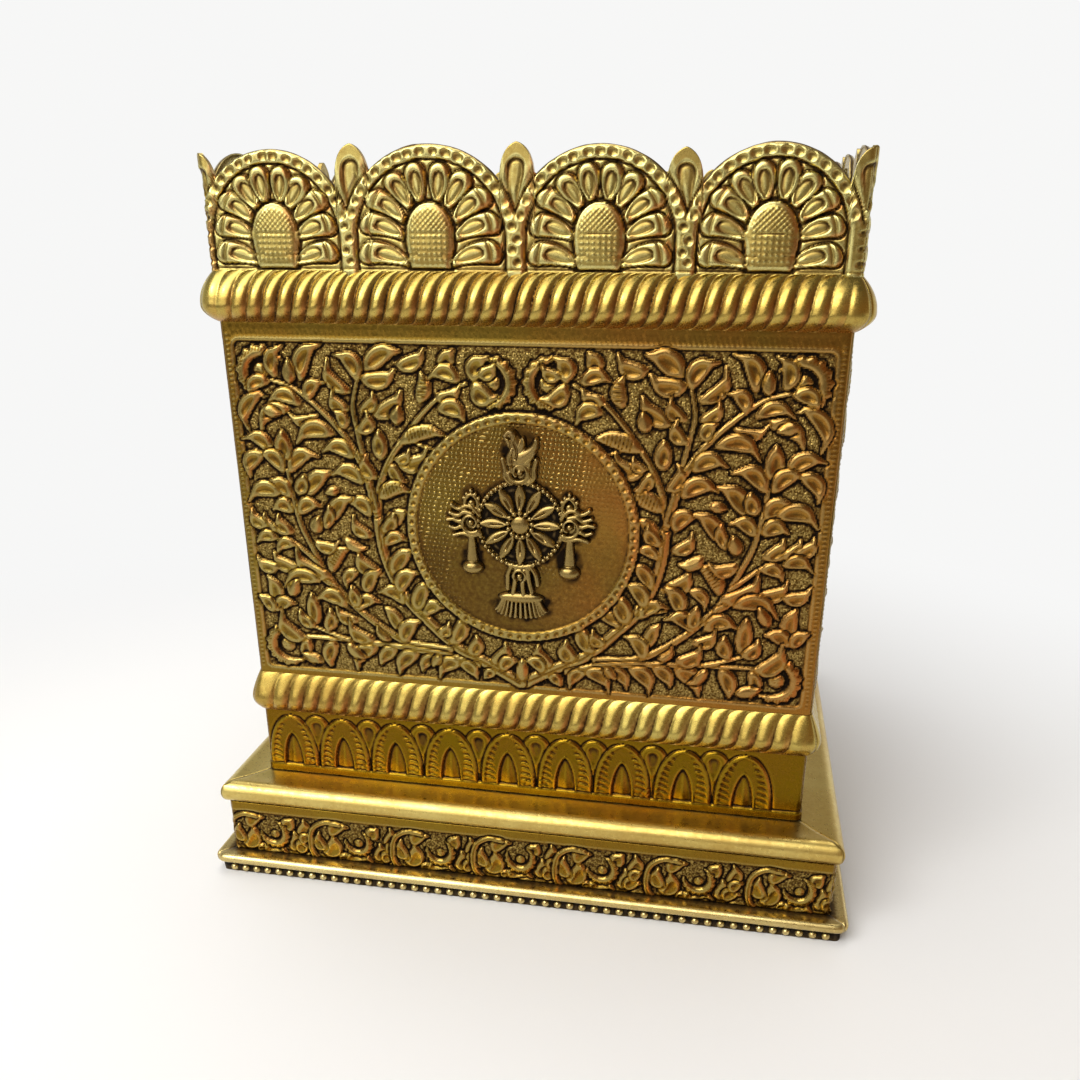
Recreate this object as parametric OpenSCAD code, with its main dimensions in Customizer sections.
// Square tulsi vrindavan planter: a wooden box on a wooden plinth, clad in embossed brass,
// with twisted rope mouldings, a free-standing palmette crest and a drop-in metal liner.
// Millimetres, +Z up, origin under the centre of the plinth. The front faces -Y.

/* [Body] */
// Outside width and depth of the square body
body_w = 300; // [270:1:380]
// Radius of the body's upright corners
body_corner_r = 3; // [2.5:0.5:6]
// Height of the leafy panels between the two rope mouldings
panel_h = 187.5; // [165:0.5:260]
// Thickness of the brass sheets
sheet_t = 1.5; // [1.2:0.1:2.2]
// Depth of the punched ground below the panel's border
ground_sink = 0.6; // [0.3:0.1:0.8]
// Width of the ticked border round each panel
border_w = 7.5; // [5:0.5:12]

/* [Foliage] */
// Length of a leaf
leaf_l = 15.5; // [11:0.5:17]
// Width of a leaf
leaf_w = 8.2; // [5:0.1:9]
// Height of the leaves' rims and of the stems above the ground
leaf_rise = 1.2; // [0.5:0.1:1.6]
// Width of a leaf's raised rim
leaf_rim = 1.3; // [0.8:0.1:1.8]
// Distance between two leaves on the same side of a stem
leaf_pitch = 13; // [11:0.5:18]
// Width of the main stem at its root
stem_w = 5; // [3.5:0.25:6]
// Radius of a curled flower
flower_r = 12; // [9:0.5:13]

/* [Medallion] */
// Radius of the round medallion on each panel
medallion_r = 59; // [56:1:68]
// Width of the medallion's dimpled ring
medallion_ring_w = 4.5; // [3:0.5:8]
// Height of the ring above the ground
medallion_ring_rise = 1.6; // [1:0.1:2.5]
// Height of the medallion's field above the ground
medallion_field_rise = 0.9; // [0.4:0.1:1]
// Height of the medallion's centre above the middle of the panel
medallion_lift = -5; // [-8:0.5:8]

/* [Rope mouldings] */
// Height of the upper rope moulding
upper_rope_h = 24; // [18:0.5:32]
// How far the upper rope stands out from the body
upper_rope_out = 8.2; // [5:0.1:12]
// Distance between strands of the upper rope
upper_rope_pitch = 7.7; // [6:0.1:12]
// Height of the lower rope moulding
lower_rope_h = 23.5; // [18:0.5:32]
// How far the lower rope stands out from the body
lower_rope_out = 6; // [4:0.1:10]
// Distance between strands of the lower rope
lower_rope_pitch = 8.7; // [6:0.1:12]
// Depth of the groove between two strands
strand_groove = 1.7; // [0.8:0.1:2.4]
// How far one strand runs along the side as it climbs the moulding
strand_sweep = 22; // [10:1:30]

/* [Crest] */
// Number of arches on each side
arches = 4; // [3:1:5]
// Height of the spear tips above the upper rope
crest_h = 54; // [50:0.5:64]
// How far the arch tops stay below the spear tips
arch_below_tip = 2; // [0:0.5:6]
// How far an arch's outline falls from its top to its shoulder
arch_shoulder = 22; // [16:0.5:26]
// Width of an arch's border band
arch_band_w = 6; // [4:0.5:8]
// Height of the border band above the crest sheet
arch_band_rise = 1; // [0.5:0.1:1.6]
// Width of a spear
spear_w = 19; // [14:0.5:24]
// Height of a spear
spear_h = 40; // [30:0.5:46]
// Width of the column of sheet between two arches
arch_column_w = 8.5; // [6:0.5:12]
// Width of the oval boss in the middle of an arch
boss_w = 22; // [16:0.5:26]
// Height of the oval boss
boss_h = 29; // [24:0.5:32]
// Number of petals round each boss
petals = 10; // [6:1:12]
// Width of a petal at its round end
petal_w = 9.6; // [6:0.1:10.4]
// Width of a petal's raised rim
petal_rim = 1.5; // [1:0.1:2]
// Gap between the petals' ends and what is beside them
petal_gap = 0.9; // [0.5:0.1:1.5]
// Half of the fan's spread, in degrees
petal_fan = 103; // [80:1:106]
// Height of a petal's rim above the crest sheet
petal_rise = 1.8; // [1:0.1:2.4]

/* [Neck] */
// Height of the petal band between the plinth and the lower rope
neck_h = 39; // [36:0.5:60]
// Number of lotus petals on each side
lotus_petals = 9; // [5:1:11]
// Height of a lotus petal
lotus_h = 31; // [24:0.5:34]
// Height of the pointed arch inside a lotus petal
lotus_inner_h = 20; // [14:0.5:23]
// Width of the pointed arch inside a lotus petal
lotus_inner_w = 12; // [8:0.5:14]
// Height of the lotus petals above the neck sheet
lotus_rise = 1; // [0.5:0.1:1.6]

/* [Plinth] */
// How far the plinth's scrolled frieze stands out past the body
plinth_step = 18.5; // [15:0.5:60]
// Radius of the plinth's upright corners
plinth_corner_r = 3; // [2.5:0.5:6]
// Radius of the rolled nose round the ledge
nose_r = 6.5; // [5:0.1:8]
// How far the nose stands out past the frieze
nose_out = 3.5; // [2.5:0.1:4.5]
// How far the nose wraps under itself, in degrees
nose_wrap = 58; // [50:1:62]
// Height of the ledge's flat top above the floor
ledge_z = 56; // [50:0.5:80]
// Distance between two scrolls of the frieze
scroll_pitch = 49; // [40:1:60]
// Height of the scrolls above the frieze sheet
scroll_rise = 1.3; // [0.6:0.1:2]

/* [Foot rim] */
// Height of the foot rim
rim_h = 12; // [11:0.5:15]
// How far the rim's lip stands out past the frieze
rim_out = 9.5; // [8:0.1:13]
// Radius of the rim's rounded lip
lip_r = 2.9; // [2:0.1:3.2]
// Radius of the rim's corners in plan
rim_corner_r = 7; // [4:0.5:12]
// Radius of a bead under the lip
bead_r = 2.25; // [1.8:0.05:2.5]
// Distance between beads
bead_pitch = 6.8; // [5.5:0.1:10]

/* [Woodwork] */
// Thickness of the box boards
board_t = 12; // [9:0.5:18]
// Thickness of the plinth's deck board
deck_t = 12; // [10:0.5:18]
// Thickness of the plinth rails
rail_t = 18; // [15:0.5:25]
// Leg of the triangular blocks in the plinth's corners
block_leg = 40; // [25:1:60]
// Radius of a screw's shank
screw_r = 1.75; // [1.25:0.05:2]
// Radius of a screw's head
screw_head_r = 3.5; // [2.5:0.1:4]
// Length of a screw
screw_l = 35; // [24:1:40]
// Clearance round a screw
screw_clearance = 0.1; // [0.05:0.05:0.2]

/* [Liner] */
// Thickness of the liner's sheet
liner_t = 1; // [0.8:0.1:2]
// Clearance between the liner and the boards
liner_clearance = 1; // [0.5:0.1:3]
// Gap between the liner's rim and the crest
liner_rim_clearance = 0.4; // [0.2:0.1:1]
// Gap under the liner
liner_floor_gap = 0.5; // [0.3:0.1:0.9]
// Radius of the liner's upright corners
liner_corner_r = 8; // [4:0.5:20]
// How far the liner's rim lies below the top of the upper rope
liner_drop = 2; // [0:0.5:10]

/* [Emblem] */
// Radius of the emblem's wheel over its beads
wheel_r = 23; // [18:0.5:23.5]
// Height of the wheel's centre above the medallion's centre
emblem_lift = 4.25; // [-4:0.25:4.5]
// Number of petals in the wheel
wheel_petals = 12; // [8:1:16]
// Number of beads round the wheel's rim
wheel_beads = 48; // [30:1:56]
// Thickness of the emblem's back plate
emblem_plate_t = 1.6; // [1:0.1:3]
// Radius of the pegs cast on its back
peg_r = 1.5; // [1:0.1:2.5]
// Length of the pegs
peg_l = 9; // [5:0.5:10]
// Clearance round a peg
peg_clearance = 0.15; // [0.1:0.05:0.3]

/* [Hidden] */
$fn = 48;
eps = 0.01;
sink = 0.3; // depth by which raised work bites into its sheet, so that both are one solid

front = 0;
right = 90;
back = 180;
left = 270;

body_half = body_w / 2;
core_half = body_half - sheet_t;
core_corner_r = body_corner_r - sheet_t;
cavity_half = core_half - board_t;

// Heights of the joints between the pieces, from the floor up
deck_top_z = ledge_z - sheet_t;
rail_h = deck_top_z - deck_t;
lower_rope_z = ledge_z + neck_h;
panel_z = lower_rope_z + lower_rope_h;
upper_rope_z = panel_z + panel_h;
crest_z = upper_rope_z + upper_rope_h;
lower_seam_z = lower_rope_z + lower_rope_h / 2;
upper_seam_z = upper_rope_z + upper_rope_h / 2;
tip_z = crest_z + crest_h;
wall_top_z = crest_z - liner_drop - liner_t;
floor_top_z = deck_top_z + board_t;

// Plinth, from its centre outwards
frieze_half = body_half + plinth_step;
rail_half = frieze_half - sheet_t;
nose_half = frieze_half + nose_out;
nose_centre = nose_half - nose_r;
nose_centre_z = ledge_z - nose_r;
frieze_top_z = nose_centre_z - nose_r * sin(nose_wrap) - 0.2;
rim_half = frieze_half + rim_out;
bead_face = rim_half - lip_r - 0.7;
rim_lip_z = rim_h - 2 * lip_r;
bead_z = rim_lip_z / 2;

// Crest
arch_pitch = body_w / arches;
arch_top_z = tip_z - arch_below_tip;
arch_r = (pow(arch_pitch / 2, 2) + pow(arch_shoulder, 2)) / (2 * arch_shoulder);
arch_centre_z = arch_top_z - arch_r;
arch_inner_r = arch_r - arch_band_w;
arch_inner_half = (arch_pitch - arch_column_w) / 2;

// Medallion
medallion_z = panel_z + panel_h / 2 + medallion_lift;
ground_half = body_half - ground_sink;
medallion_face = ground_half + medallion_field_rise;
emblem_z = medallion_z + emblem_lift;
emblem_unit = wheel_r / 20; // the emblem is drawn in twentieths of its wheel's radius

brass = "#c9a23c";
pale_brass = "#dcc069";
antique_brass = "#8f7434";
wood = "#9c6b3f";
liner_metal = "#b9b7ae";

// ---- Drawing helpers ----

// Square with rounded corners, w across
module round_square(w, r) {
    square([w - 2 * r, w], center = true);
    square([w, w - 2 * r], center = true);
    for (sx = [-1, 1], sy = [-1, 1])
        translate([sx * (w / 2 - r), sy * (w / 2 - r)]) circle(r);
}

// The front quarter of the plan, out to the mitre lines
module front_quarter(reach) {
    polygon([[0, 0], [-reach, -reach], [reach, -reach]]);
}

// Keeps the part of its children that lies in the front quarter
module mitred(reach, top) {
    intersection() {
        children();
        translate([0, 0, -eps]) linear_extrude(top + 2 * eps) front_quarter(reach);
    }
}

// Upright sheet along the front, with mitred ends and rounded outer corners
module front_sheet(half, corner_r, low, high) {
    translate([0, 0, low]) linear_extrude(high - low) intersection() {
        difference() {
            round_square(2 * half, corner_r);
            round_square(2 * (half - sheet_t), corner_r - sheet_t);
        }
        front_quarter(half + 1);
    }
}

// Carries a section, drawn as distance from the centre and height, along the front
module front_moulding(half, top) {
    mitred(half + 1, top)
        rotate([90, 0, -90]) linear_extrude(2 * (half + 1), center = true) children();
}

// Stands a flat drawing of x and height on the front plane and raises it
module raised(plane, rise) {
    translate([0, sink - plane, 0]) rotate([90, 0, 0]) linear_extrude(rise + sink) children();
}

// Pointed arch with its foot on the x axis
module pointed_arch(w, h) {
    r = (h * h / (w / 2) + w / 2) / 2;
    intersection() {
        translate([w / 2 - r, 0]) circle(r);
        translate([r - w / 2, 0]) circle(r);
        translate([-w / 2, 0]) square([w, h]);
    }
}

// Leaf with two points, centred
module lens(w, h) {
    r = (h * h / w + w) / 4;
    intersection() {
        translate([w / 2 - r, 0]) circle(r);
        translate([r - w / 2, 0]) circle(r);
    }
}

// Teardrop petal with its narrow root at the origin and its round end towards +Y
module teardrop(l, w) {
    polygon([[-0.2 * w, 0], [0.2 * w, 0], [w / 2, l - w / 2], [-w / 2, l - w / 2]]);
    translate([0, l - w / 2]) circle(w / 2);
}

// ---- Woodwork ----

// Countersunk screw pointing along -Z, with the top of its head at the origin
module screw(grow = 0) {
    head_h = screw_head_r - screw_r;
    translate([0, 0, -screw_l - grow]) cylinder(r = screw_r + grow, h = screw_l + grow + eps);
    translate([0, 0, -head_h]) cylinder(r1 = screw_r + grow, r2 = screw_head_r + grow, h = head_h);
}

// Screws that hold the front and back boards to the ends of the side boards
module at_box_screws() {
    box_h = wall_top_z - deck_top_z;
    for (turn = [0, 180], sx = [-1, 1], level = [0.15, 0.5, 0.85])
        rotate(turn)
            translate([sx * (core_half - board_t / 2), -core_half + 0.5, deck_top_z + level * box_h])
                rotate([90, 0, 0]) children();
}

// Screws that hold the deck board down on the plinth rails
module at_deck_screws() {
    for (turn = [front, right, back, left], sx = [-0.55, 0.55])
        rotate(turn)
            translate([sx * rail_half, rail_t / 2 - rail_half, deck_top_z - 0.5]) children();
}

module plinth_rail(side) {
    color(wood) rotate(side) difference() {
        mitred(rail_half + 1, rail_h)
            linear_extrude(rail_h) difference() {
                round_square(2 * rail_half, plinth_corner_r - sheet_t);
                square(2 * (rail_half - rail_t), center = true);
            }
        at_deck_screws() screw(screw_clearance);
    }
}

module plinth_corner_blocks() {
    inner = rail_half - rail_t;
    color(wood)
        for (turn = [front, right, back, left])
            rotate(turn) linear_extrude(rail_h)
                polygon([[-inner, -inner], [block_leg - inner, -inner], [-inner, block_leg - inner]]);
}

module deck_board() {
    color(wood) difference() {
        union() {
            translate([0, 0, rail_h]) linear_extrude(deck_t) square(2 * nose_centre, center = true);
            for (side = [front, right, back, left])
                rotate(side) front_moulding(nose_half, ledge_z) {
                    translate([nose_centre, nose_centre_z]) circle(nose_r - sheet_t - 0.2);
                    translate([nose_centre - nose_r, nose_centre_z - 1]) square([nose_r, 2]);
                }
        }
        at_deck_screws() {
            screw(screw_clearance);
            cylinder(r = screw_head_r + screw_clearance, h = 1);
        }
    }
}

module deck_screws() {
    color(liner_metal) at_deck_screws() screw();
}

// Front and back boards run the full width. The side boards stand between them.
module wall_board(side) {
    facing_front = side == front || side == back;
    reach = facing_front ? core_half : cavity_half;
    color(wood) difference() {
        rotate(side) intersection() {
            translate([-reach, -core_half, deck_top_z]) cube([2 * reach, board_t, wall_top_z - deck_top_z]);
            translate([0, 0, deck_top_z - 1]) linear_extrude(wall_top_z)
                round_square(2 * core_half, core_corner_r);
        }
        at_box_screws() {
            screw(screw_clearance);
            cylinder(r = screw_head_r + screw_clearance, h = 1);
        }
        if (side == front) emblem_pegs(peg_clearance);
    }
}

module box_screws() {
    color(liner_metal) at_box_screws() screw();
}

module floor_board() {
    color(wood) translate([-cavity_half, -cavity_half, deck_top_z])
        cube([2 * cavity_half, 2 * cavity_half, board_t]);
}

// Loose metal box that holds the soil. Its rim hangs on the tops of the boards.
module liner() {
    out_half = cavity_half - liner_clearance;
    bottom = floor_top_z + liner_floor_gap;
    color(liner_metal) difference() {
        union() {
            translate([0, 0, bottom]) linear_extrude(wall_top_z + eps - bottom)
                round_square(2 * out_half, liner_corner_r);
            translate([0, 0, wall_top_z]) linear_extrude(liner_t)
                round_square(2 * (core_half - liner_rim_clearance), core_corner_r);
        }
        translate([0, 0, bottom + liner_t]) linear_extrude(wall_top_z)
            round_square(2 * (out_half - liner_t), liner_corner_r - liner_t);
    }
}

// ---- Plinth cladding ----

module foot_rim(side) {
    beads = floor((2 * bead_face - 2 * bead_r) / bead_pitch);
    color(pale_brass) rotate(side) {
        intersection() {
            front_moulding(rim_half, rim_h) {
                translate([rail_half, 0]) square([bead_face - rail_half, rim_lip_z + eps]);
                translate([frieze_half, rim_lip_z])
                    square([rim_half - lip_r - frieze_half, 2 * lip_r]);
                translate([rail_half, 0]) square([sheet_t + eps, rim_h]);
                translate([rim_half - lip_r, rim_h - lip_r]) circle(lip_r);
            }
            translate([0, 0, -1]) linear_extrude(rim_h + 2) round_square(2 * rim_half, rim_corner_r);
        }
        for (i = [0 : beads - 1])
            translate([(i - (beads - 1) / 2) * bead_pitch, -bead_face, bead_z])
                sphere(bead_r, $fn = 24);
    }
}

// Bar with round ends, 2r high
module capsule(spread, r) {
    square([2 * spread, 2 * r], center = true);
    for (sx = [-1, 1]) translate([sx * spread, 0]) circle(r);
}

// Three leaves that fan out to the right from the origin
module leaf_spray(h) {
    for (tilt = [-35, -75, -115])
        rotate(tilt) translate([0, 0.2 * h]) lens(0.17 * h, 0.42 * h);
}

// One scroll: a band that climbs on the left, runs over the top and curls down to a round eye,
// with two leaves inside and a spray of three on its right
module scroll(h) {
    r = h / 2;
    spread = 0.3 * r;
    difference() {
        capsule(spread, r);
        capsule(spread, 0.72 * r);
        translate([-spread, 0]) rotate(-84) square([2 * r, 1.1 * r]);
    }
    translate([spread + 0.33 * r, -0.36 * r]) circle(0.47 * r);
    translate([-0.62 * r, -0.3 * r]) rotate(-24) lens(0.4 * r, 1.1 * r);
    translate([-0.12 * r, 0.34 * r]) rotate(-76) lens(0.28 * r, 0.9 * r);
    translate([spread + 0.84 * r, -0.1 * r]) leaf_spray(h);
}

module frieze(side) {
    scrolls = floor((2 * frieze_half - 10) / scroll_pitch);
    face_h = frieze_top_z - rim_h;
    middle_z = (rim_h + frieze_top_z) / 2;
    scroll_h = face_h - 5;
    color(brass) rotate(side) {
        front_sheet(frieze_half, plinth_corner_r, rim_h, frieze_top_z);
        raised(frieze_half, scroll_rise) translate([0, middle_z]) {
            for (i = [0 : scrolls - 1])
                translate([(i - (scrolls - 1) / 2) * scroll_pitch, 0]) scroll(scroll_h);
            translate([-(scrolls + 0.1) / 2 * scroll_pitch, -0.05 * scroll_h]) leaf_spray(scroll_h);
        }
    }
}

// Flat ledge that ends in a rolled nose wrapped over the deck board's edge
module ledge(side) {
    far = 2 * nose_r;
    color(pale_brass) rotate(side) front_moulding(nose_half, ledge_z) {
        translate([core_half, deck_top_z]) square([nose_centre - core_half + eps, sheet_t]);
        translate([nose_centre, nose_centre_z]) intersection() {
            difference() {
                circle(nose_r);
                circle(nose_r - sheet_t);
            }
            polygon([[0, 0], [0, far], [far, far], [far, 0], [far * cos(nose_wrap), -far * sin(nose_wrap)]]);
        }
    }
}

// ---- Body cladding ----

// Lotus petal: a broad ribbed band round a pointed arch with a smaller tongue inside
module lotus_petal(w) {
    difference() {
        pointed_arch(w, lotus_h);
        pointed_arch(lotus_inner_w, lotus_inner_h);
    }
    pointed_arch(lotus_inner_w - 4, lotus_inner_h - 5);
}

module neck_band(side) {
    pitch = body_w / (lotus_petals + 0.5);
    foot_z = ledge_z + 3;
    loop_r = 0.09 * pitch;
    color(brass) rotate(side) {
        front_sheet(body_half, body_corner_r, ledge_z, lower_seam_z);
        raised(body_half, lotus_rise) {
            for (i = [0 : lotus_petals - 1])
                translate([(i - (lotus_petals - 1) / 2) * pitch, foot_z]) lotus_petal(pitch - 1.2);
            for (i = [0 : lotus_petals])
                translate([(i - lotus_petals / 2) * pitch, foot_z + 0.86 * lotus_h])
                    intersection() {
                        difference() {
                            circle(2.2 * loop_r);
                            circle(loop_r);
                        }
                        if (i == 0) translate([0, -pitch]) square(2 * pitch);
                        else if (i == lotus_petals) translate([-2 * pitch, -pitch]) square(2 * pitch);
                        else square(2 * pitch, center = true);
                    }
        }
    }
}

// Fades the twist out towards the mitres, where the roll is smooth
function twist_at(s) = 1 - pow(s, 6);

// Share of the groove's depth at each of the three steps across a strand
strand_steps = [1, 0, 0.3];

// Point of a rope moulding: s runs from -1 to 1 along the side, t from 0 to 1 up the section
function rope_point(s, t, cut, bulge, h, z) =
    let (
        out = (bulge - cut * strand_groove * twist_at(s)) * sin(180 * t),
        slant = strand_sweep * (t - 0.5) * twist_at(s)
    )
    [s * (body_half + out) + slant, -body_half - out, z + h * (1 - cos(180 * t)) / 2];

// Half-round bar of slanting strands that swell and taper like twisted cord
module rope(z, h, bulge, pitch) {
    steps = len(strand_steps);
    across = 6;
    along = steps * round(body_w / pitch);
    row = across + 1;
    points = [
        for (i = [0 : along], j = [0 : across])
            rope_point(2 * i / along - 1, j / across, strand_steps[i % steps], bulge, h, z)
    ];
    skin = [
        for (i = [0 : along - 1], j = [0 : across - 1])
            let (a = i * row + j, b = a + row)
            each [[a, a + 1, b + 1], [a, b + 1, b]]
    ];
    back_strip = [
        for (i = [0 : along - 1])
            let (a = i * row, b = a + row)
            each [[a, b, b + across], [a, b + across, a + across]]
    ];
    first_end = [[for (j = [across : -1 : 0]) j]];
    last_end = [[for (j = [0 : across]) along * row + j]];
    polyhedron(points, concat(skin, back_strip, first_end, last_end), convexity = 4);
}

module lower_rope(side) {
    color(pale_brass) rotate(side) rope(lower_rope_z, lower_rope_h, lower_rope_out, lower_rope_pitch);
}

module upper_rope(side) {
    color(pale_brass) rotate(side) rope(upper_rope_z, upper_rope_h, upper_rope_out, upper_rope_pitch);
}

// Stems of the right half, from root to tip, as shares of the ground's half width and height
stem_shares = [
    [[0.02, 0.02], [0.17, 0.07], [0.31, 0.15], [0.42, 0.25], [0.49, 0.36], [0.51, 0.53]],
    [[0.51, 0.52], [0.47, 0.65], [0.37, 0.78], [0.22, 0.87]],
    [[0.51, 0.52], [0.56, 0.67], [0.58, 0.8], [0.57, 0.92]],
    [[0.51, 0.52], [0.6, 0.69], [0.73, 0.82], [0.82, 0.87]],
    [[0.25, 0.1], [0.45, 0.14], [0.63, 0.23], [0.75, 0.35], [0.81, 0.48], [0.84, 0.64]],
    [[0.71, 0.29], [0.82, 0.33], [0.93, 0.33]],
    [[0.15, 0.06], [0.32, 0.1], [0.55, 0.1], [0.8, 0.11]]
];
// Width of each stem as a share of the main stem's
stem_widths = [1, 0.62, 0.62, 0.62, 0.75, 0.5, 0.7];
// Curled flowers of the right half: place as above, and the way they turn
flower_places = [[[0.91, 0.92], 30], [[0.91, 0.075], -20], [[0.12, 0.9], 180]];

// Point of a smooth curve through the points p, a share t past point i
function curve_point(p, i, t) =
    let (a = p[max(i - 1, 0)], b = p[i], c = p[i + 1], d = p[min(i + 2, len(p) - 1)])
    (2 * b + (c - a) * t + (2 * a - 5 * b + 4 * c - d) * t * t + (3 * b - a - 3 * c + d) * t * t * t) / 2;

function curve(p, steps) = [
    for (i = [0 : len(p) - 2], k = [0 : steps - 1]) curve_point(p, i, k / steps),
    p[len(p) - 1]
];

function on_ground(share) =
    let (half = body_half - border_w, h = panel_h - 2 * border_w)
    [share[0] * half, panel_z + border_w + share[1] * h];

function stem_path(i) = [for (share = curve(stem_shares[i], 3)) on_ground(share)];

// Direction and left-hand normal of a path at point k
function heading(path, k) =
    let (v = path[min(k + 1, len(path) - 1)] - path[max(k - 1, 0)]) v / norm(v);
function leftwards(v) = [-v[1], v[0]];

// Tapering stem along a path
module stem(path, w) {
    last = len(path) - 1;
    function half_w(k) = w / 2 * (1 - 0.6 * k / last);
    polygon(concat(
        [for (k = [0 : last]) path[k] + half_w(k) * leftwards(heading(path, k))],
        [for (k = [last : -1 : 0]) path[k] - half_w(k) * leftwards(heading(path, k))]
    ));
}

// Length of a path up to point k
function run(path, k) = k <= 0 ? 0 : run(path, k - 1) + norm(path[k] - path[k - 1]);
// Place at a distance s along a path, and its heading
function at_run(path, s, k = 1) =
    let (step = norm(path[k] - path[k - 1]))
    s <= step || k == len(path) - 1
        ? [path[k - 1] + (path[k] - path[k - 1]) * min(s / step, 1), heading(path, k)]
        : at_run(path, s - step, k + 1);

// Leaves of one stem, each as root, direction
function leaves_of(i) =
    let (path = stem_path(i), l = run(path, len(path) - 1), pitch = leaf_pitch / 2)
    [
        for (j = [1 : floor((l - 2) / pitch)])
            let (here = at_run(path, j * pitch), side = j % 2 == 0 ? 1 : -1, v = here[1], tilt = side * 48)
            [here[0], [v[0] * cos(tilt) - v[1] * sin(tilt), v[0] * sin(tilt) + v[1] * cos(tilt)], i],
        let (tip = at_run(path, l)) [tip[0] - tip[1], tip[1], i]
    ];

function leaf_middle(leaf) = leaf[0] + leaf[1] * (0.55 * leaf_l);

// True if a leaf stays on the ground, off the medallion and off the flowers
function leaf_fits(leaf) =
    let (
        middle = leaf_middle(leaf),
        tip = leaf[0] + leaf[1] * leaf_l,
        inset = leaf_w / 2 + 0.6,
        half = body_half - border_w,
        low = panel_z + border_w,
        high = panel_z + panel_h - border_w
    )
    max(abs(tip[0]), abs(middle[0]) + inset) < half - 0.5
    && min(tip[0], middle[0] - leaf_w / 2) > 0.8
    && min(tip[1], middle[1] - inset) > low && max(tip[1], middle[1] + inset) < high
    && norm(middle - [0, medallion_z]) > medallion_r + inset
    && norm(tip - [0, medallion_z]) > medallion_r + 1
    && len([for (f = flower_places) if (norm(middle - on_ground(f[0])) < flower_r + leaf_w / 2) 1]) == 0;

// True if a leaf stays off the stems other than its own
function off_stems(leaf) = len([
    for (i = [0 : len(stem_shares) - 1], q = stem_path(i))
        if (i != leaf[2] && norm(leaf_middle(leaf) + leaf[1] - q) < leaf_w / 2 + stem_w / 3) 1
]) == 0;

leaves = [
    for (i = [0 : len(stem_shares) - 1], leaf = leaves_of(i))
        if (leaf_fits(leaf) && off_stems(leaf)) leaf
];

// Leaves that keep clear of all that come before them
function clear_leaves(k = 0, kept = []) =
    k == len(leaves) ? kept
    : let (m = leaf_middle(leaves[k]))
    len([for (old = kept) if (norm(leaf_middle(old) - m) < 1.15 * leaf_w) 1]) == 0
        ? clear_leaves(k + 1, concat(kept, [leaves[k]]))
        : clear_leaves(k + 1, kept);

module each_leaf() {
    for (leaf = clear_leaves())
        translate(leaf_middle(leaf)) rotate(-atan2(leaf[1][0], leaf[1][1])) children();
}

// Curled flower: a crescent petal round a small eye
module flower() {
    difference() {
        circle(flower_r);
        translate([-0.34 * flower_r, 0]) circle(0.72 * flower_r);
        translate([-1.3 * flower_r, -flower_r]) square([flower_r, 2 * flower_r]);
    }
    translate([-0.3 * flower_r, 0]) circle(0.3 * flower_r);
}

// Foliage of the right half of a panel, drawn flat
module foliage_half() {
    for (i = [0 : len(stem_shares) - 1]) stem(stem_path(i), stem_w * stem_widths[i]);
    difference() {
        each_leaf() lens(leaf_w, leaf_l);
        each_leaf() lens(leaf_w - 2 * leaf_rim, leaf_l - 4 * leaf_rim);
    }
    for (f = flower_places) translate(on_ground(f[0])) rotate(f[1]) flower();
}

// Embossed stems, hollowed leaves and flowers, mirrored about the middle
module foliage() {
    raised(ground_half, leaf_rise) translate(on_ground([0, 0.045])) lens(leaf_w, leaf_l);
    for (side = [0, 1]) mirror([side, 0, 0]) {
        raised(ground_half, leaf_rise) foliage_half();
        raised(ground_half, leaf_rise / 2)
            each_leaf() lens(leaf_w - 1.5 * leaf_rim, leaf_l - 3 * leaf_rim);
    }
}

// Panel with a sunk ground inside its border, foliage, and a ringed medallion
module panel(side) {
    color(brass) rotate(side) difference() {
        union() {
            foliage();
            difference() {
                front_sheet(body_half, body_corner_r, lower_seam_z, upper_seam_z);
                translate([border_w - body_half, -body_half - 1, panel_z + border_w])
                    cube([body_w - 2 * border_w, ground_sink + 1, panel_h - 2 * border_w]);
            }
            raised(ground_half, medallion_ring_rise) translate([0, medallion_z]) difference() {
                circle(medallion_r, $fn = 96);
                circle(medallion_r - medallion_ring_w, $fn = 96);
            }
            raised(ground_half, medallion_field_rise) translate([0, medallion_z])
                circle(medallion_r - medallion_ring_w + sink, $fn = 96);
        }
        if (side == front) emblem_pegs(peg_clearance);
    }
}

// ---- Crest ----

// Outline of the standing crest, from the seam behind the rope to the spear tips
module crest_outline() {
    shoulder_z = arch_top_z - arch_shoulder;
    translate([-body_half, upper_seam_z]) square([body_w, shoulder_z - upper_seam_z - 4]);
    for (i = [0 : arches - 1])
        translate([(i + 0.5) * arch_pitch - body_half, 0]) intersection() {
            translate([0, arch_centre_z]) circle(arch_r, $fn = 96);
            translate([-arch_pitch / 2, upper_seam_z]) square([arch_pitch, tip_z - upper_seam_z]);
        }
    for (i = [0 : arches])
        translate([i * arch_pitch - body_half, tip_z - spear_h / 2]) lens(spear_w, spear_h);
}

// Raised border band of one arch
module arch_band() {
    difference() {
        intersection() {
            translate([0, arch_centre_z]) circle(arch_r - 0.8, $fn = 96);
            translate([-arch_pitch / 2, crest_z]) square([arch_pitch, crest_h]);
        }
        intersection() {
            translate([0, arch_centre_z]) circle(arch_inner_r, $fn = 96);
            translate([-arch_inner_half, crest_z]) square([2 * arch_inner_half, crest_h]);
        }
    }
}

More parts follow.
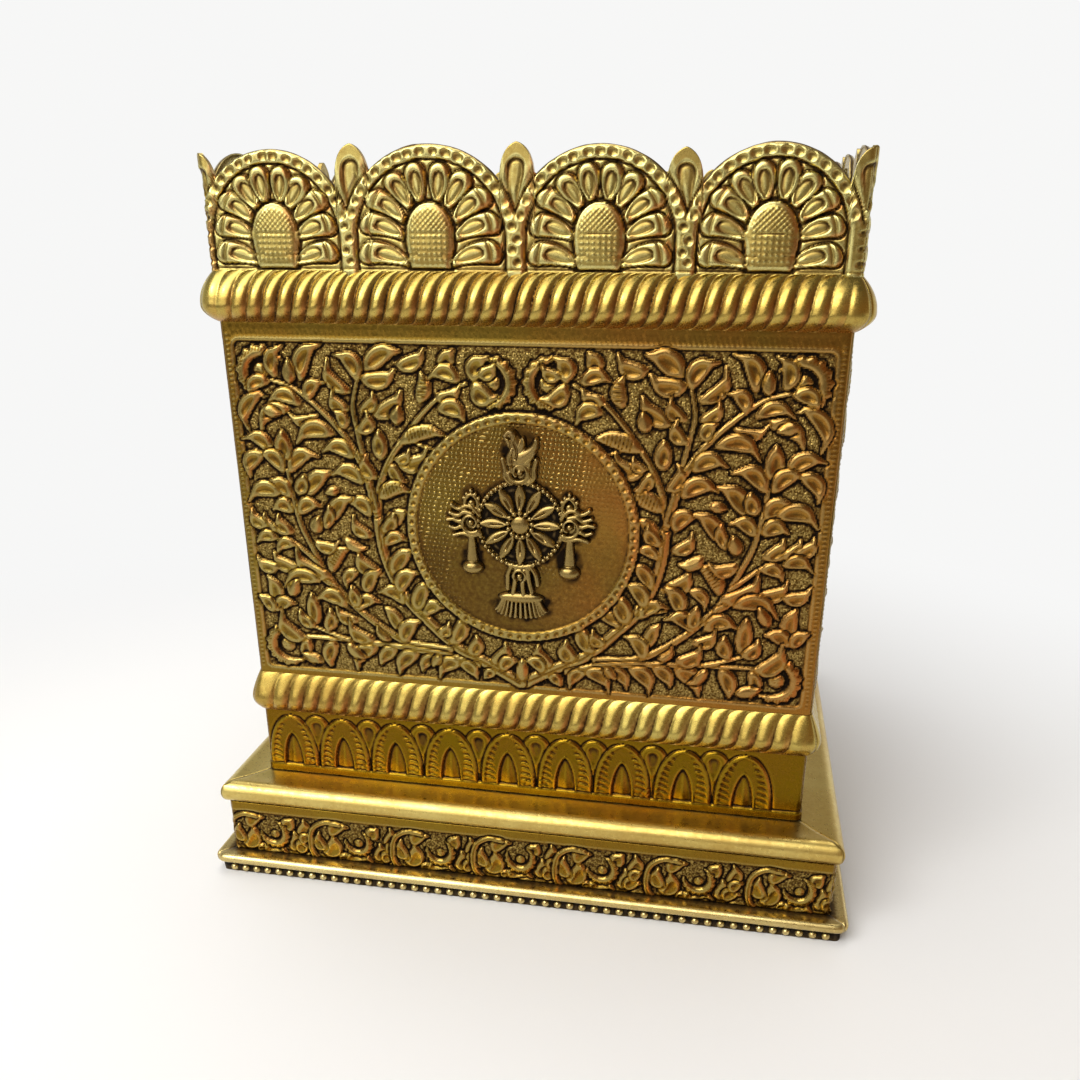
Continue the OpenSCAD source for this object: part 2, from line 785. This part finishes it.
// Petals of one arch, grown or shrunk all round: roots at the boss's edge, ends just inside the band
module fan_petals(grow = 0) {
    fan_z = crest_z + boss_h / 2;
    for (i = [0 : petals - 1]) {
        turn = petal_fan * (2 * i / (petals - 1) - 1);
        root = [(boss_w / 2 + petal_gap) * sin(turn), (boss_h / 2 + petal_gap) * cos(turn)];
        end = [
            (arch_inner_half - petal_gap) * sin(turn),
            (arch_top_z - arch_band_w - petal_gap - fan_z) * cos(turn)
        ];
        reach = end - root;
        translate([root[0], fan_z + root[1]]) rotate(-atan2(reach[0], reach[1]))
            teardrop(norm(reach) + grow, petal_w + 2 * grow);
    }
}

// Petals with a raised rim round a lower floor
module palmette() {
    raised(body_half, petal_rise) difference() {
        fan_petals();
        fan_petals(-petal_rim);
    }
    raised(body_half, petal_rise / 2) fan_petals(-petal_rim / 2);
}

// Domed boss: round above, narrowing a little to its foot
module boss() {
    r = boss_w / 2;
    dome_r = (boss_h * boss_h / 4 + petal_rise * petal_rise) / (2 * petal_rise);
    intersection() {
        raised(body_half, petal_rise + 1) translate([0, crest_z]) {
            translate([0, boss_h - r]) circle(r);
            polygon([[-0.72 * r, 0], [0.72 * r, 0], [r, boss_h - r], [-r, boss_h - r]]);
        }
        translate([0, dome_r - body_half - petal_rise - 0.5, crest_z + boss_h / 2])
            sphere(dome_r, $fn = 180);
    }
}

module crest(side) {
    color(brass) rotate(side) {
        difference() {
            intersection() {
                front_sheet(body_half, body_corner_r, upper_seam_z, tip_z);
                raised(body_half - 2 * sheet_t, 3 * sheet_t) crest_outline();
            }
            spear_recesses();
        }
        for (i = [0 : arches - 1])
            translate([(i + 0.5) * arch_pitch - body_half, 0, 0]) {
                mitred_band(i);
                palmette();
                boss();
            }
    }
}

// Drop-shaped recess pressed into each spear
module spear_recesses() {
    for (i = [1 : arches - 1])
        translate([i * arch_pitch - body_half, sheet_t / 3 - body_half, tip_z - 0.68 * spear_h])
            rotate([90, 0, 0]) linear_extrude(sheet_t) teardrop(0.44 * spear_h, 0.36 * spear_w);
}

// Border band, stopped short of the body's corners
module mitred_band(i) {
    stop_left = i == 0 ? body_corner_r : 0;
    stop_right = i == arches - 1 ? body_corner_r : 0;
    raised(body_half, arch_band_rise) intersection() {
        arch_band();
        translate([stop_left - arch_pitch / 2, crest_z])
            square([arch_pitch - stop_left - stop_right, crest_h]);
    }
}

// ---- Emblem ----

// Pegs on the emblem's back, grown by a clearance where they pass through other pieces
module emblem_pegs(grow = 0) {
    for (dz = [-wheel_r / 2, wheel_r / 2])
        translate([0, -medallion_face - sink, emblem_z + dz]) rotate([-90, 0, 0])
            cylinder(r = peg_r + grow, h = peg_l + sink + grow, $fn = 24);
}

// Stands a drawing in emblem units on the medallion, a number of units above the back plate
module cast(rise) {
    raised(medallion_face, emblem_plate_t + rise * emblem_unit) scale(emblem_unit) children();
}

// Curling tongue that tapers along smooth points
module tongue(points, w) {
    stem(curve(points, 3), w);
}

// Wheel: a sunk disc with almond petals, a beaded hub and a beaded rim
module wheel() {
    hub_r = 6.9;
    petal_l = 11.8;
    petal_mid = hub_r - 0.6 + petal_l / 2;
    cast(0) circle(19.1);
    cast(1.2) difference() {
        circle(19.65);
        circle(17.4);
    }
    cast(0.9)
        for (i = [0 : wheel_petals - 1])
            rotate(i * 360 / wheel_petals) translate([0, petal_mid]) lens(4.9, petal_l);
    cast(1.6)
        for (i = [0 : wheel_petals - 1])
            rotate(i * 360 / wheel_petals) translate([0, petal_mid + 0.3]) lens(2.6, petal_l - 3.4);
    cast(0.5) circle(hub_r);
    translate([0, -medallion_face - emblem_plate_t, 0]) rotate([90, 0, 0]) scale(emblem_unit) {
        sphere(3.8, $fn = 32);
        for (i = [0 : wheel_petals - 1])
            rotate((i + 0.5) * 360 / wheel_petals) translate([0, 5.4, 0.4]) sphere(0.95, $fn = 16);
        for (i = [0 : wheel_beads - 1])
            rotate(i * 360 / wheel_beads) translate([0, 18.5, 1.05]) sphere(1.15, $fn = 16);
    }
}

// Over the wheel, a curl with a round eye between two pairs of leaves, under a tall flame
// that leans to the left and a small one that leans to the right
module flame() {
    cast(0) translate([0, 23.2]) circle(3.4);
    cast(0.9) {
        for (side = [0, 1]) mirror([side, 0]) {
            tongue([[3.6, 18], [7.2, 21.5], [6.3, 26], [7.9, 30]], 3.2);
            tongue([[2.4, 18], [4.3, 22.6], [3.1, 27.4], [3.9, 31.4]], 2.5);
        }
        difference() {
            translate([0, 23.2]) circle(3.6);
            translate([0.2, 23.7]) circle(2.2);
        }
        translate([-1.9, 33.2]) rotate(12) lens(7.4, 15.4);
        translate([4, 32]) rotate(-40) lens(3.9, 10.4);
    }
    cast(1.8) {
        translate([-2, 33]) rotate(12) lens(3.6, 11);
        translate([4.2, 32.3]) rotate(-40) lens(1.8, 6.6);
    }
    cast(1.5) translate([0.2, 23.6]) circle(1.3);
}

// Flames that blow outwards beside the wheel, round a curl with a round eye, with an arched
// finial above and a mace below
module side_flame() {
    curl = [21.8, 0.4];
    cast(0) {
        translate(curl) circle(3.4);
        translate([20.9, 6.4]) pointed_arch(5.6, 8.2);
    }
    cast(0.9) {
        tongue([[18, 3.2], [22.4, 7.3], [27, 6.1], [31.4, 8.2]], 3.1);
        tongue([[22, 3.4], [25.6, 4.7], [29, 3.3], [32.4, 4.8]], 2.9);
        tongue([[23, 0.4], [27, 0.9], [29.6, 0.3], [32.6, 1.2]], 2.8);
        tongue([[22, -2.6], [25.8, -2], [29, -2.7], [31.8, -4.6]], 2.9);
        tongue([[18, -4.8], [23, -5.2], [27, -5.6], [30.4, -7.8]], 3.1);
        difference() {
            translate(curl) circle(3.6);
            translate(curl + [0.2, 0.3]) circle(2.2);
        }
        difference() {
            translate([20.9, 6.4]) pointed_arch(6.2, 9);
            translate([20.9, 7.5]) pointed_arch(3.2, 5.4);
        }
    }
    cast(1.5) {
        translate(curl + [0.1, 0.2]) circle(1.4);
        translate([20.9, 9.3]) circle(0.9);
    }
    translate([0, -medallion_face, 0]) scale(emblem_unit) {
        translate([20.9, -2.2, 15.3]) sphere(1.1, $fn = 16);
        translate([21.6, -1.6, 0]) {
            translate([0, 0, -18]) cylinder(r1 = 2.1, r2 = 1.5, h = 13.2, $fn = 24);
            translate([0, 0, -23]) rotate_extrude($fn = 32)
                polygon([[0, 0], [1, 0.1], [3.2, 0.9], [4.4, 2.5], [3.7, 3.9], [2.4, 4.7], [2.4, 5.7],
                    [0, 5.7]]);
        }
    }
}

// Ribbed lotus seat under the wheel, with hanging tassels above it
module lotus_seat() {
    ribs = 13;
    cap_z = -33.4;
    cast(0) translate([0, -23.4]) circle(3.2);
    cast(0.9) {
        for (side = [0, 1]) mirror([side, 0]) {
            tongue([[3.4, -18], [6.2, -22], [6.9, -28.6]], 3);
            tongue([[1.6, -18], [3.6, -24], [2.2, -33.6]], 3);
        }
        difference() {
            translate([0, -23.4]) circle(3.4);
            translate([-0.2, -23.8]) circle(2.1);
        }
        translate([0, cap_z]) polygon([[-8.2, -0.5], [8.2, -0.5], [10.4, -8], [-10.4, -8]]);
    }
    cast(1.5) translate([-0.2, -23.7]) circle(1.2);
    cast(1.9) translate([0, cap_z]) rotate(90) lens(3.6, 20);
    cast(1.7)
        for (i = [0 : ribs - 1]) {
            share = 2 * i / (ribs - 1) - 1;
            translate([7.3 * share, cap_z + 0.2]) rotate(180 + share * 24)
                teardrop(10.2 - 1.7 * share * share, 1.75);
        }
}

// Casting with a flat back on the medallion's face
module emblem() {
    reach = 3 * wheel_r;
    color(antique_brass) {
        difference() {
            translate([0, 0, emblem_z]) {
                wheel();
                flame();
                side_flame();
                mirror([1, 0, 0]) side_flame();
                lotus_seat();
            }
            translate([-reach, -medallion_face, emblem_z - reach])
                cube([2 * reach, reach / 4, 2 * reach]);
        }
        emblem_pegs();
    }
}

plinth_rail(front);  // plinth_rail_front
plinth_rail(right);  // plinth_rail_right
plinth_rail(back);  // plinth_rail_back
plinth_rail(left);  // plinth_rail_left
plinth_corner_blocks();
deck_board();
deck_screws();
wall_board(front);  // wall_board_front
wall_board(right);  // wall_board_right
wall_board(back);  // wall_board_back
wall_board(left);  // wall_board_left
floor_board();
box_screws();
foot_rim(front);  // foot_rim_front
foot_rim(right);  // foot_rim_right
foot_rim(back);  // foot_rim_back
foot_rim(left);  // foot_rim_left
frieze(front);  // frieze_front
frieze(right);  // frieze_right
frieze(back);  // frieze_back
frieze(left);  // frieze_left
ledge(front);  // ledge_front
ledge(right);  // ledge_right
ledge(back);  // ledge_back
ledge(left);  // ledge_left
neck_band(front);  // neck_band_front
neck_band(right);  // neck_band_right
neck_band(back);  // neck_band_back
neck_band(left);  // neck_band_left
lower_rope(front);  // lower_rope_front
lower_rope(right);  // lower_rope_right
lower_rope(back);  // lower_rope_back
lower_rope(left);  // lower_rope_left
panel(front);  // panel_front
panel(right);  // panel_right
panel(back);  // panel_back
panel(left);  // panel_left
upper_rope(front);  // upper_rope_front
upper_rope(right);  // upper_rope_right
upper_rope(back);  // upper_rope_back
upper_rope(left);  // upper_rope_left
crest(front);  // crest_front
crest(right);  // crest_right
crest(back);  // crest_back
crest(left);  // crest_left
emblem();
liner();
